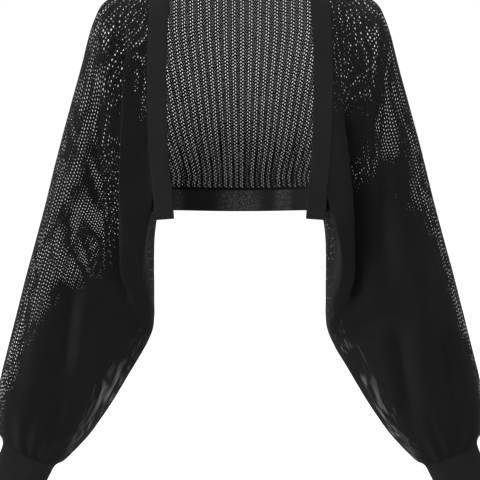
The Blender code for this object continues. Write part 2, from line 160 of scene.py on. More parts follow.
# Gathers that rise from the hem over the back: x at the hem, height, depth.
BACK_GATHERS = (
    (-92, 60, 2.2), (-76, 95, 3), (-66, 70, 2.4), (-52, 110, 3.4), (-38, 80, 2.8),
    (-25, 120, 3.6), (-9, 70, 2.4), (8, 105, 3.2), (22, 90, 3), (34, 60, 2.4), (44, 115, 3.4),
    (60, 75, 2.6), (70, 120, 3.6), (82, 90, 3), (94, 60, 2.2),
)
# A gather's half width, how it fans out upward, and how it fades at the hem, top and sides.
GATHER_HALF_WIDTH = 4.5
GATHER_FAN = 0.0011
GATHER_HEM_FADE = 18.0
GATHER_TOP_FADE = 0.8
GATHER_SIDE_FADE = 8
# How far up, as a share of its height, and how far to each side a gather crowds the knit shut.
GATHER_SHUT_RISE = 1.1
GATHER_SHUT_WIDTH = 2.8
GATHER_SHUT_DEPTH = 4.4

# The front band across its width: the share of the width, and of how far it stands up.
BAND_STATIONS = ((0.0, 0.0), (0.07, 0.12), (0.14, 0.35), (0.3, 0.7), (0.6, 1.0), (1.0, 1.0))
# What the hem keeps below the gathered knit beyond the gap at the seam.
HEM_EASE = 0.1
# How far to each side the band's turn at the neck corner is spread, and in how many steps.
CORNER_REACH = 22.0
SPREAD_STEPS = 11
# The cuff's points round each half and rows along it, and its shape along its length: the
# share of the length, and of the sleeve's last ring.
CUFF_POINTS = 73
CUFF_ROWS = 15
CUFF_STATIONS = (
    (0, 1), (0.05, 0.965), (0.1, 0.94), (0.16, 0.92), (0.3, 0.9), (0.55, 0.88), (0.8, 0.865),
    (1, 0.86),
)

# How far the cuff's top edge lies in from the sleeve, and over which share of its length.
CUFF_TUCK = 1.1
CUFF_TUCK_REACH = 0.3

# How far the open part of the knit reaches from the sleeve's outer line and from its line
# under the arm, as shares of the way round a half, and how open it is: the ring, the outer
# reach and openness, and the ones under the arm. The rest is crowded shut.
OPEN_REACH = {
    ("left", -1): (
        (0, 0.95, 1.4, 0, 0), (2, 0.95, 1.2, 0.02, 0.5), (3, 0.9, 0.95, 0.04, 0.6),
        (4, 0.85, 0.7, 0.04, 0.7), (5, 0.6, 0.56, 0.04, 0.7), (6, 0.36, 0.5, 0.05, 0.6),
        (7, 0.27, 0.45, 0.06, 0.5), (9, 0.2, 0.45, 0.06, 0.5), (10, 0.13, 0.54, 0.08, 0.6),
        (11, 0.1, 0.54, 0.08, 0.7), (12, 0.1, 0.64, 0.09, 0.8), (13, 0.1, 1, 0.1, 0.8),
        (14, 0.06, 1.2, 0.12, 0.9), (17, 0.05, 1, 0.17, 0.9), (18.2, 0.05, 0, 0.14, 0),
    ),
    ("right", -1): (
        (0, 0.95, 1.4, 0, 0), (2, 0.95, 1.2, 0.02, 0.5), (3, 0.9, 1, 0.04, 0.6),
        (4, 0.85, 0.85, 0.04, 0.6), (5, 0.8, 0.68, 0.04, 0.5), (6, 0.56, 0.58, 0.04, 0.4),
        (7, 0.5, 0.57, 0.04, 0.3), (8, 0.48, 0.55, 0.04, 0.3), (9, 0.48, 0.55, 0.05, 0.3),
        (10, 0.42, 0.54, 0.06, 0.4), (11, 0.32, 0.56, 0.08, 0.6), (12, 0.24, 0.56, 0.11, 0.8),
        (13, 0.2, 0.66, 0.12, 0.6), (14, 0.18, 0.66, 0.13, 0.5), (17, 0.12, 0.64, 0.17, 0.55),
        (18.2, 0.08, 0, 0.14, 0),
    ),
    ("left", 1): (
        (0, 0.95, 1.2, 0, 0), (3, 0.92, 1.4, 0.05, 1.4), (5, 0.72, 1.5, 0.06, 1.4),
        (7, 0.46, 1.6, 0.08, 1.4), (10, 0.27, 1.7, 0.12, 1.6), (13, 0.2, 1.9, 0.18, 1.8),
        (17, 0.1, 1.9, 0.24, 2), (18.2, 0.08, 0, 0.2, 0),
    ),
    ("right", 1): (
        (0, 0.95, 1.2, 0, 0), (3, 0.92, 1.4, 0.05, 1.4), (5, 0.86, 1.5, 0.06, 1.4),
        (7, 0.64, 1.6, 0.06, 1.4), (10, 0.5, 1.7, 0.1, 1.6), (13, 0.3, 1.9, 0.16, 1.8),
        (17, 0.2, 1.9, 0.24, 2), (18.2, 0.14, 0, 0.2, 0),
    ),
}
OPEN_FADE = 0.14
# How open the knit of the chest is at most, by how far below the neck side it lies.
CHEST_OPEN = {
    "left": ((0, 1.4), (30, 1.0), (62, 0.8), (125, 0.7), (165, 0.5), (190, 0.0)),
    "right": ((0, 1.4), (30, 1.3), (62, 1.1), (125, 0.95), (165, 0.7), (200, 0.0)),
}
# The rings over which that limit is lifted.
CHEST_RINGS = (4.5, 6.5)
# What share of its openness a sleeve's knit keeps behind, by how far it lies from the middle.
BACK_OPEN = {
    "left": ((110, 0.28), (160, 0.32), (220, 0.42), (300, 0.5)),
    "right": ((110, 0.25), (130, 0.27), (180, 0.36), (230, 0.48), (300, 0.62)),
}
# How far the back's wales lean to and fro on the sleeve, and over how many rings.
BACK_LEAN = 0.022
BACK_LEAN_RINGS = 6.5

# How far stitches drift, in columns and half courses, and the size of a patch that drifts.
EASE_DRIFT = 0.22
EASE_ROWS = 9
EASE_LINES = 7
EASE_SEEDS = {"left": 11, "right": 12}
# Half courses over which the drift sets in from the body and ends before the cuff, and how
# many of them stay plain.
EASE_ENDS = (4, 8)
PLAIN_ENDS = (2, 4)

# Where the hem's knit is stretched thin and painted lighter, as painted light showing through
# it: across from the middle, half width, how much.
HEM_LIGHT_PATCHES = ((0, 26, 0.9), (58, 11, 0.7), (-84, 7, 0.7), (0, 140, 0.1))

# The knit's repeat on the sleeves' front, their back, and the back panel: a pair of eyelet
# columns, then the sheer strip. Each column has its share of the repeat, half a course of
# stagger or none, the half courses a cell spans, the opening's share of an eyelet's, and the
# share of its relaxed width below which it is crowded shut.
REPEAT = ((0.342, 0, 2, 1.0, 0.0), (0.342, 1, 2, 1.0, 0.66), (0.316, 0, 2, 0.85, 0.70))
HIDDEN_REPEAT = tuple((*row[:3], 1.0, 0.0) for row in REPEAT)
STRIP = ((0.125, 0, 1, 0.82, 0.4), (0.125, 1, 1, 0.82, 0.4))
BACK_REPEAT = ((0.25, 0, 2, 1.0, 0.0), (0.25, 1, 2, 1.0, 0.0), *STRIP, *STRIP)
# The back's shares of the repeat where the gathers crowd it at the hem.
HEM_SHARES = (0.29, 0.29, 0.105, 0.105, 0.105, 0.105)
# How far in from the panel's edge the back's knit opens fully.
EDGE_OPEN = 5
# How open the back's knit is just above the hem, and how far up it opens fully.
HEM_OPEN = 0.72
HEM_OPEN_RISE = 190
# Over what share of its relaxed width a crowded column shuts.
SHUT_FADE = 0.12
# The most that stretched eyelets widen, and the least share of its height that is still open.
MOST_SLACK = 1.15
LEAST_TALL = 0.35
NET_SEED = 7
# The corners of an eyelet and of a wider one, as shares of half its width and height, by the
# half courses its cell spans, and the cell's own corners as columns and half courses.
EYELET = {
    1: ((-0.8, -0.8), (0.8, -0.8), (0.8, 0.8), (-0.8, 0.8)),
    2: ((-0.55, -1), (0.55, -1), (1, 0), (0.55, 1), (-0.55, 1), (-1, 0)),
}
WIDE_EYELET = {2: ((-0.85, -1), (0.85, -1), (1, 0), (0.85, 1), (-0.85, 1), (-1, 0))}
CELL = {
    1: ((0, 0), (1, 0), (1, 1), (0, 1)),
    2: ((0, 0), (1, 0), (1, 1), (1, 2), (0, 2), (0, 1)),
}

# How far the lines beside a pair bend, as a share of the rib between them, the most that a
# line bends as a share of its room, and the room at which the rib is full.
SIDE_BEND = 0.7
MOST_BEND = 0.12
RIB_ROOM = 3
# Turns of the rounded edge of a band, in degrees.
EDGE_TURNS = (50, 0, -50)

# The yarns by slot: colour, wales and courses in a unit of the knit map, depth of a stitch.
YARNS = {
    "open_knit": ("knit_colour", 3, 3, 0.0007),
    "fine_knit": ("trim_colour", 1, 1, 0.0003),
}
# The yarn's noises, as scale and detail: the stitches' wander, fibres, clouds, and the grain of
# the painted light in thin patches.
NOISES = ((260, 1), (2600, 4), (22, 3), (620, 1))
# How far the stitches wander, in stitches, and how deep each loop is in its column.
WANDER = 0.35
LOOP_RELIEF = 0.3
# How much the stitches (painted shade, darker in their hollows), the fibres and the clouds
# count in the yarn's shade, the range of shade that is coloured, and how the colour runs over
# it.
STITCH_SHADE_AND_TONE = (0.22, 0.5, 0.35)
SHADE_RANGE = (0.3, 0.95)
SHADE_COLOURS = (0.6, 1.5)
# How much lighter the thin patches are painted, as painted light showing through, and how sharp
# their grain is.
SEE_THROUGH_LIGHTNESS = 34
SEE_THROUGH_GRAIN = 4
# The yarn's surface, and what the fibres add to it.
ROUGHNESS = 0.72
FUZZ_ROUGHNESS = 0.2
SHEEN_ROUGHNESS = 0.45
SPECULAR = 0.02
STITCH_BUMP = 0.8
FUZZ_BUMP = 0.6
FUZZ_DEPTH = 0.00025

FLOOR_RADIUS = 14
FLOOR_SIDES = 96
FLOOR_ROUGHNESS = 0.9
WORLD_STRENGTH = 1.02
SUN_STRENGTH = 1.1
SUN_ANGLE = 70
SUN_TILT = (18, -12, 0)
SENSOR = 36
# Soft lights: name, place, size, power.
LIGHTS = (
    ("key_light", (-1.1, -2.3, 1.5), 1.2, 230),
    ("fill_light", (2.2, -2.0, 0.4), 2.0, 20),
    ("top_light", (0.2, 1.2, 1.9), 2.2, 45),
)


def spline(rows, at):
    """Reads rows of numbers at fractional row numbers, along a smooth curve."""
    rows = np.asarray(rows, float)
    at = np.clip(np.asarray(at, float), 0, len(rows) - 1)
    low = np.minimum(at.astype(int), len(rows) - 2)
    f = (at - low)[:, None]
    near = [rows[np.clip(low + step, 0, len(rows) - 1)] for step in (-1, 0, 1, 2)]
    before, start, end, after = near
    curve = 2 * start + (end - before) * f
    curve += (2 * before - 5 * start + 4 * end - after) * f**2
    curve += (3 * start - before - 3 * end + after) * f**3
    return curve / 2


def smooth_line(rows):
    return spline(rows, np.linspace(0, len(rows) - 1, SMOOTH_STEPS))


def lengths(points):
    """How far along a line each of its points lies."""
    step = np.linalg.norm(np.diff(points[:, :3], axis=0), axis=1)
    return np.concatenate([[0], np.cumsum(step)])


def read_line(at, along, points):
    """Reads a line's points at places along it."""
    return np.stack([np.interp(at, along, column) for column in points.T], axis=1)


def resample(points, shares):
    """Reads a line at shares of its length."""
    along = lengths(points)
    return read_line(np.asarray(shares) * along[-1], along, points)


def unit_rows(vectors):
    return vectors / np.maximum(np.linalg.norm(vectors, axis=-1, keepdims=True), 1e-9)


def ramp(value):
    """A smooth step from 0 at 0 to 1 at 1."""
    value = np.clip(value, 0, 1)
    return value * value * (3 - 2 * value)


def body_halves():
    """The sleeve's first ring, from the neck side down the front and up the back."""
    front = np.array([row[:3] for row in FRONT_SEAM])
    side = np.array(SIDE_SEAM)
    back = np.array(BACK_SEAM)
    middle = (side[2] + side[3]) / 2
    halves = (np.vstack([front, side[:3], middle]), np.vstack([middle, side[3:], back]))
    even = np.linspace(0, 1, SMOOTH_STEPS)
    return [resample(smooth_line(half), even) for half in halves]


def section_halves(ring):
    """The front and back halves of a ring before its folds, as x, y, z."""
    top_x, top_z, low_x, low_z, depth, middle, fullness, share = ring
    body_top = np.array(RINGS[0][:2])
    body_low = np.array(RINGS[0][2:4])
    halves = []
    for face, body in zip((-1, 1), body_halves()):
        rise = (body[:, 2] - body_low[1]) / (body_top[1] - body_low[1])
        line_x = body_low[0] + rise * (body_top[0] - body_low[0])
        angle = np.linspace(0, np.pi, SMOOTH_STEPS)
        if face > 0:
            angle = angle[::-1]
        swing = np.cos(angle)
        own_rise = (1 + np.sign(swing) * np.abs(swing) ** SECTION_FULLNESS) / 2
        bulge = np.sin(angle) ** SECTION_FULLNESS * (1 + fullness * swing)
        own_y = middle + face * depth * bulge
        across = share * rise + (1 - share) * own_rise
        x = low_x + across * (top_x - low_x) + share**SEAM_FADE * (body[:, 0] - line_x)
        y = share * body[:, 1] + (1 - share) * own_y
        z = low_z + across * (top_z - low_z)
        halves.append(np.stack([x, y, z], axis=1))
    return halves


def along_line(points, line):
    """How far points lie outward of a sloping line, and their place along it from 0 to 1."""
    top_x, top_z, low_x, low_z = line
    place = (points[:, 2] - top_z) / (low_z - top_z)
    return points[:, 0] - (top_x + (low_x - top_x) * place), place


def fold(points, face, ring, side):
    """Lays the side's laps and troughs into one half of a ring."""
    depth, middle = ring[4:6]
    free = 1 - ring[7] ** SEAM_HOLD
    facing = ramp(face * (points[:, 1] - middle) / (depth * FACE_BLEND)) * free
    moved = points.copy()
    if face < 0:
        for row in LAPS[side]:
            reach, lap_depth, overlap, fade_in, fade_out = row[4:]
            away, place = along_line(points, row[:4])
            drop = row[1] - row[3]
            window = ramp(place * drop / fade_in) * ramp((1 - place) * drop / fade_out)
            q = np.clip(away / reach, -1, 1)
            swing = LAP_PEAK * np.sin(np.pi * q) * np.cos(np.pi * q / 2) ** 2
            moved[:, 0] -= overlap * swing * window * facing
            moved[:, 1] += lap_depth * swing * window * facing
    for row in TROUGHS[side]:
        half_width, trough_depth, trough_face = row[4:]
        if trough_face != face:
            continue
        away, place = along_line(points, row[:4])
        window = ramp(place * TROUGH_FADE) * ramp((1 - place) * TROUGH_FADE)
        press = trough_depth * np.exp(-((away / half_width) ** 2)) * window * facing
        moved[:, 1] -= face * press
    return moved


def steps_across(grid, closed):
    """The way from line to line of a grid, which may close in a ring."""
    if closed:
        return np.roll(grid, -1, axis=1) - np.roll(grid, 1, axis=1)
    return np.gradient(grid, axis=1)


def grid_normals(grid, closed):
    """Unit normals of a grid of points, from its rows and columns."""
    return unit_rows(np.cross(steps_across(grid, closed), np.gradient(grid, axis=0)))


def seam_normals(ring):
    """Normals of the sleeve's first ring, square to the seam and to the way out of it."""
    along = np.roll(ring, -1, axis=0) - np.roll(ring, 1, axis=0)
    return unit_rows(np.cross(along, np.array([1.0, 0.0, 0.0])))


def cuff_axis():
    top_x, top_z, low_x, low_z = RINGS[-1][:4]
    across = np.array([low_x - top_x, 0, low_z - top_z])
    return unit_rows(np.array([-across[2], 0, across[0]]))


def mirrored(points, side):
    return points * np.array([1 if side == "left" else -1, 1, 1])


def crowd(count, share):
    """Shares of the way round half a ring, wider apart at its outer line and under the arm."""
    even = np.linspace(0, 1, count + 1)
    first = OUTER_CROWD * (1 - share) * np.sin(2 * np.pi * even) / (2 * np.pi)
    second = UNDER_CROWD * (1 - share) * np.sin(np.pi * even) / np.pi
    return even + first + second


def course_places(courses):
    """Ring numbers of the half courses, evenly spaced along the sleeve's outer line."""
    places = np.linspace(0, len(RINGS) - 1, SMOOTH_STEPS)
    outer = spline(RINGS, places)[:, :2]
    outer = np.column_stack([outer, np.zeros(len(outer))])
    along = lengths(outer)
    return np.interp(np.linspace(0, along[-1], 2 * courses + 1), along, places)


def sleeve_lattice(side, courses, lines):
    """The sleeve's cloth as half courses from the body to the cuff and lines round it, for +X.

    Returns its points, normals, and how open the knit is at each."""
    half = lines // 2
    places = course_places(courses)
    rows = []
    opened = []
    for place, ring in zip(places, spline(RINGS, places)):
        front, back = section_halves(ring)
        shares = crowd(half, ring[7])
        front = resample(fold(front, -1, ring, side), shares)
        lean = np.sin(np.pi * shares) * np.sin(2 * np.pi * place / BACK_LEAN_RINGS)
        back = resample(fold(back, 1, ring, side), 1 - (shares + BACK_LEAN * lean)[::-1])
        rows.append(np.vstack([front[:-1], back[:-1]]))
        row = []
        for face in (-1, 1):
            table = np.array(OPEN_REACH[(side, face)])
            look = [np.interp(place, table[:, 0], table[:, k]) for k in range(1, 5)]
            near_outer = look[1] * (1 - ramp((shares - look[0]) / OPEN_FADE))
            near_under = look[3] * (1 - ramp((1 - shares - look[2]) / OPEN_FADE))
            if face < 0:
                drop, most = np.array(CHEST_OPEN[side]).T
                chest = np.interp(-front[:, 2], drop, most)
                lifted = np.interp(place, CHEST_RINGS, (0, 1))
                near_outer = np.minimum(near_outer, chest + lifted)
            part = np.maximum(near_outer, near_under)
            if face > 0:
                across, share = np.array(BACK_OPEN[side]).T
                part *= np.interp(back[::-1, 0], across, share)
            row.append(part[:-1] if face < 0 else part[::-1][:-1])
        opened.append(np.concatenate(row))
    grid = np.array(rows)
    opened = np.array(opened)
    around = np.arange(lines) / lines
    strength = ramp((places - CUFF_GATHER_START) / (len(RINGS) - 2 - CUFF_GATHER_START))
    strength *= ramp((len(RINGS) - 1 - places) / CUFF_GATHER_END)
    wave = np.cos(2 * np.pi * CUFF_GATHERS * around)
    gathers = (CUFF_GATHER_DEPTH * strength[:, None] * wave)[:, :, None]
    grid += grid_normals(grid, True) * gathers
    grid = ease(grid, EASE_DRIFT, EASE_SEEDS[side])
    return grid, grid_normals(grid, True), opened


def ease(grid, drift, seed):
    """Lets a ring lattice's stitches drift a little along the cloth, as knitted cloth does."""
    rows, lines = grid.shape[:2]
    rng = np.random.default_rng(seed)
    knots = rng.normal(0, drift, (2, rows // EASE_ROWS + 3, lines // EASE_LINES))
    row_at = np.arange(rows) / EASE_ROWS
    line_at = np.arange(lines) * knots.shape[2] / lines
    low = row_at.astype(int)[:, None]
    near = line_at.astype(int)[None, :]
    f = ramp(row_at - row_at.astype(int))[:, None]
    g = ramp(line_at - line_at.astype(int))[None, :]
    far = (near + 1) % knots.shape[2]
    top = knots[:, low, near] * (1 - g) + knots[:, low, far] * g
    under = knots[:, low + 1, near] * (1 - g) + knots[:, low + 1, far] * g
    shift = top * (1 - f) + under * f
    first, last = EASE_ENDS
    shift[:, :first] *= (np.arange(first) / first)[:, None]
    shift[:, -last:] *= (np.arange(last)[::-1] / last)[:, None]
    across = steps_across(grid, True) / 2
    down = np.gradient(grid, axis=0)
    return grid + across * shift[0][:, :, None] + down * shift[1][:, :, None]


def body_ring():
    """The sleeve's first ring with even points, from the neck side and round by the front."""
    even = np.linspace(0, 1, RING_POINTS + 1)
    return np.vstack([resample(half, even)[:-1] for half in body_halves()])


def panel_grid(columns):
    """The back panel's surface from the neck to the hem and across from -X, with normals."""
    ring = body_ring()
    at_hem = ring[RING_POINTS:, 2] > BACK_SEAM[0][2] - 1
    first = RING_POINTS + int(np.argmax(at_hem))
    seam = np.vstack([ring[first:], ring[:1]])[::-1]
    places = lengths(seam) / lengths(seam)[-1]
    middle = resample(smooth_line(BACK_MIDDLE), np.linspace(0, 1, SMOOTH_STEPS))
    middle = spline(middle, places * (SMOOTH_STEPS - 1))
    across = np.linspace(-1, 1, columns + 1)
    edge_x, edge_y, edge_z = seam.T[:, :, None]
    middle_y, middle_z, square = middle.T[:, :, None]
    y = edge_y + (middle_y - edge_y) * (1 - np.abs(across) ** square)
    z = edge_z + (middle_z - edge_z) * (1 - across**2)
    grid = np.stack([across * edge_x, y, z], axis=2)
    rise = grid[:, :, 2] - BACK_MIDDLE[-1][1]
    for x_hem, height, depth in BACK_GATHERS:
        x_here = x_hem * (1 + GATHER_FAN * rise)
        bell = np.exp(-(((grid[:, :, 0] - x_here) / GATHER_HALF_WIDTH) ** 2))
        top_fade = ramp((height - rise) / (GATHER_TOP_FADE * height))
        window = ramp(rise / GATHER_HEM_FADE) * top_fade
        edge_free = ramp((1 - np.abs(across)) * GATHER_SIDE_FADE)
        grid[:, :, 1] += depth * bell * window * edge_free
    return grid, grid_normals(grid, False)


def back_lattice(sizes):
    """The back's cloth as half courses and wales that fan out upward from the hem.

    Returns its points, and how far inside the panel's edge each lies."""
    panel = panel_grid(KNIT_COLUMNS)[0]
    middle = lengths(panel[:, panel.shape[1] // 2])
    courses = int(round(middle[-1] * MM / sizes.course))
    at = np.linspace(0, middle[-1], 2 * courses + 1)
    rows = np.arange(len(panel))
    place = np.interp(at, middle, rows)
    low = np.minimum(place.astype(int), len(panel) - 2)
    f = (place - low)[:, None, None]
    panel = panel[low] * (1 - f) + panel[low + 1] * f
    relaxed = np.cumsum([0] + [row[0] for row in BACK_REPEAT])
    crowded = np.cumsum((0,) + HEM_SHARES)
    unit = len(BACK_REPEAT)
    half = unit * (sizes.back_repeats // 2)
    turns = np.arange(-half, half + 1)
    grid = []
    reach = []
    fan = (0, sizes.back_fan / MM, at[-1])
    repeats = (sizes.hem_repeat, sizes.repeat, sizes.neck_repeat)
    for row, height in zip(panel, at[::-1]):
        pitch = np.interp(height, fan, repeats) / MM
        free = ramp(height / fan[1])
        steps = relaxed * free + crowded * (1 - free)
        offsets = np.floor_divide(turns, unit) + steps[np.mod(turns, unit)]
        along = lengths(row)
        centre = along[-1] / 2
        d = centre + offsets * pitch
        inside = np.clip(d, 0, along[-1])
        grid.append(read_line(inside, along, row))
        reach.append(np.minimum(d, along[-1] - d))
    return np.array(grid), np.array(reach)


def spread(line, vectors, reach):
    """Turns the vectors along a line gently, each averaged over a reach to both sides."""
    along = lengths(line)
    total = np.zeros(vectors.shape)
    for step in np.linspace(-1, 1, SPREAD_STEPS):
        total += read_line(along + step * reach, along, vectors)
    return unit_rows(total)


def band_grid(panel, panel_normals, band_width):
    """The front band's middle from one free end up round the neck to the other."""
    ring = body_ring()
    table = np.array(FRONT_SEAM)
    count = int(np.sum(ring[:RING_POINTS, 2] > table[-1, 2]))
    low = np.vstack([ring[count - 1 : count], BAND_END])
    low = resample(low, np.linspace(0, 1, BAND_END_POINTS))[1:]
    edge = np.vstack([ring[:count], low])
    seam_side = seam_normals(ring)[:count]
    side = np.vstack([seam_side, np.tile(seam_side[-1], (len(low), 1))])
    stand = np.interp(-edge[:, 2], -table[:, 2], table[:, 3])
    stand[count:] = 0
    neck = panel[0, 1:-1]
    across = np.linspace(-1, 1, panel.shape[1])
    neck_stand = FRONT_SEAM[0][3] * across**2
    line = np.vstack([mirrored(edge, "right")[::-1], neck, edge])
    normals = [mirrored(side, "right")[::-1], panel_normals[0, 1:-1], side]
    normals = np.vstack(normals)
    stand = np.concatenate([stand[::-1], neck_stand[1:-1], stand])
    along = unit_rows(np.gradient(line, axis=0))
    inward = unit_rows(np.cross(along, normals))
    grid = [line]
    facings = [normals]
    inward = spread(line, inward, CORNER_REACH)
    normals = spread(line, normals, CORNER_REACH)
    last_share = 0.0
    for share, bend in BAND_STATIONS[1:]:
        angle = np.radians(stand * bend)[:, None]
        way = inward * np.cos(angle) + normals * np.sin(angle)
        grid.append(grid[-1] + way * band_width * (share - last_share))
        facings.append(normals * np.cos(angle) - inward * np.sin(angle))
        last_share = share
    return np.array(grid), np.array(facings)


def hem_grid(panel, height):
    """The hem's middle, from behind one end of the front band round the back to the other."""
    back = panel[-1, 1:-1, :2]
    side = smooth_line(np.vstack([back[-1], HEM_SIDE]))
    side = resample(side, np.linspace(0, 1, HEM_SIDE_POINTS))[1:]
    plan = np.vstack([(side * np.array([-1, 1]))[::-1], back, side])
    along = unit_rows(np.gradient(plan, axis=0))
    facing = np.stack([-along[:, 1], along[:, 0], np.zeros(len(plan))], axis=1)
    back_z = panel[-1, 1:-1, 2] - SEAM_GAP - HEM_EASE
    top = np.pad(back_z, len(side), mode="edge")
    shares = np.linspace(0, 1, HEM_ROWS)
    rows = [np.column_stack([plan, top - share * height]) for share in shares]
    return np.array(rows), np.array([facing] * len(rows))


def cuff_grid(side, length):
    """A cuff's middle, from the sleeve's last ring on along the cuff's axis, for +X."""
    even = np.linspace(0, 1, CUFF_POINTS)
    halves = zip((-1, 1), section_halves(RINGS[-1]))
    halves = [resample(fold(half, face, RINGS[-1], side), even) for face, half in halves]
    ring = np.vstack([half[:-1] for half in halves])
    axis = cuff_axis()
    middle = ring.mean(axis=0)
    spoke = ring - middle
    along = np.roll(ring, -1, axis=0) - np.roll(ring, 1, axis=0)
    facing = unit_rows(np.cross(along, axis))
    facing *= np.sign((facing * spoke).sum(axis=1, keepdims=True))
    rows = []
    table = np.array(CUFF_STATIONS)
    for share in np.linspace(0, 1, CUFF_ROWS):
        size = np.interp(share, table[:, 0], table[:, 1])
        ring = middle + axis * (SEAM_GAP + share * length) + spoke * size
        rows.append(ring - facing * CUFF_TUCK * (1 - ramp(share / CUFF_TUCK_REACH)))
    return np.array(rows), np.array([facing] * len(rows))


def add_mesh(name, points, faces, places, material, caps=()):
    """Adds a mesh of four-sided faces and end caps, with a knit map given at each corner."""
    mesh = bpy.data.meshes.new(name)
    mesh.from_pydata(points * MM, [], faces.tolist() + [list(cap) for cap in caps])
    layer = mesh.uv_layers.new(name="knit")
    spare = np.zeros((sum(len(cap) for cap in caps), 2))
    layer.data.foreach_set("uv", np.vstack([places.reshape(-1, 2), spare]).ravel())
    mesh.shade_smooth()
    mesh.materials.append(material)
    piece = bpy.data.objects.new(name, mesh)
    bpy.context.scene.collection.objects.link(piece)
    return piece


def sway(grid, normals, unit, sizes, closed):
    """Bends the lines round the staggered eyelets and raises the rib between each pair."""
    across = steps_across(grid, closed)
    room = np.linalg.norm(across, axis=2, keepdims=True) / 2
    odd = (np.arange(grid.shape[0]) % 2)[:, None, None]
    line = (np.arange(grid.shape[1]) % unit)[None, :, None]
    sides = np.where(line == 2, SIDE_BEND * (1 - odd), 0)
    sides = np.where(line == 0, -SIDE_BEND * odd, sides)
    push = np.where(line == 1, 2 * odd - 1, sides)
    bend = np.minimum(sizes.bend / MM, room * MOST_BEND)
    rib = np.where(line == 1, sizes.rib_height / MM, 0) * np.clip(room / RIB_ROOM, 0, 1)
    return grid + unit_rows(across) * push * bend + normals * rib


def cell_corners(first, span, column, lines):
    """Point numbers and map places of the corners of cells, by their first half courses."""
    numbers = [(first + v) * lines + (column + u) % lines for u, v in CELL[span]]
    places = [np.column_stack([column + u + 0.0 * first, first + v]) for u, v in CELL[span]]
    return numbers, places


def net(name, grid, normals, opened, keep, halves, relaxed, sizes):
    """Knits a piece with real eyelets on a lattice of half courses and lines.

    Each cell spans one or two half courses and a column. It is a ring of yarn round an eyelet
    where the knit is open, and plain where it is crowded below its relaxed width. halves
    gives the repeat and the eyelets' shape and size, of each part of the way across."""
    rows, lines = grid.shape[:2]
    columns = keep.shape[1]
    rng = np.random.default_rng(NET_SEED)
    points = [grid.reshape(-1, 3)]
    total = rows * lines
    faces = []
    places = []
    for column in range(columns):
        repeat, shape, (wide, high) = halves[column * len(halves) // columns]
        share, stagger, span, part, shut = repeat[column % len(repeat)]
        left, right = grid[:, column], grid[:, (column + 1) % lines]
        starts = np.arange(stagger, rows - span, 2)
        middle = starts + span // 2
        width = np.linalg.norm(right[middle] - left[middle], axis=1)
        height = np.linalg.norm(left[starts + span] - left[starts], axis=1)
        slack = np.clip(width * MM / (share * relaxed), 0, MOST_SLACK)
        tall = np.clip(height * MM / (sizes.course * span / 2), 0, 1)
        gape = opened[middle, column] * part * slack * ramp((slack - shut) / SHUT_FADE + 1)
        gape = np.minimum(gape, 1) * rng.uniform(1 - sizes.uneven, 1, len(starts))
        is_open = keep[starts, column] & keep[starts + span - 1, column]
        is_open &= (gape * wide * width > sizes.least / MM) & (tall > LEAST_TALL)
        s = starts[is_open]
        gape = gape[is_open][:, None]
        tall = tall[is_open][:, None]
        free = keep[:-1, column].copy()
        free[s] = False
        free[s + span - 1] = False
        plain = cell_corners(np.nonzero(free)[0], 1, column, lines)
        for kind, corner in zip((faces, places), plain):
            kind.append(np.stack([corner[k] for k in (0, 3, 2, 1)], axis=1))
        # The cells' own corners, left and right at the start and at the end.
        a, b, c, d = left[s], right[s], left[s + span], right[s + span]
        centre = (a + b + c + d) / 4
        half_u = (b - a + d - c) / 4
        half_v = (c - a + d - b) / 4
        facing = normals[s + span // 2, column] * sizes.sink / MM
        outer, outer_place = cell_corners(s, span, column, lines)
        inner = []
        inner_place = []
        for x, y in shape[span]:
            x_share = x * wide * gape
            y_share = y * high * np.sqrt(gape * tall)
            points.append(centre + half_u * x_share + half_v * y_share - facing)
            inner.append(total + np.arange(len(s)))
            total += len(s)
            at = s[:, None] + (1 + y_share) * span / 2
            inner_place.append(np.column_stack([column + 0.5 + x_share / 2, at]))
        for kind, rim, hole in ((faces, outer, inner), (places, outer_place, inner_place)):
            for k in range(len(rim)):
                m = (k + 1) % len(rim)
                kind.append(np.stack([rim[k], hole[k], hole[m], rim[m]], axis=1))
    points = np.vstack(points)
    used, faces = np.unique(np.vstack(faces), return_inverse=True)
    places = np.vstack(places) * np.array([1 / len(repeat), 0.5])
    return add_mesh(name, points[used], faces.reshape(-1, 4), places, yarn("open_knit"))


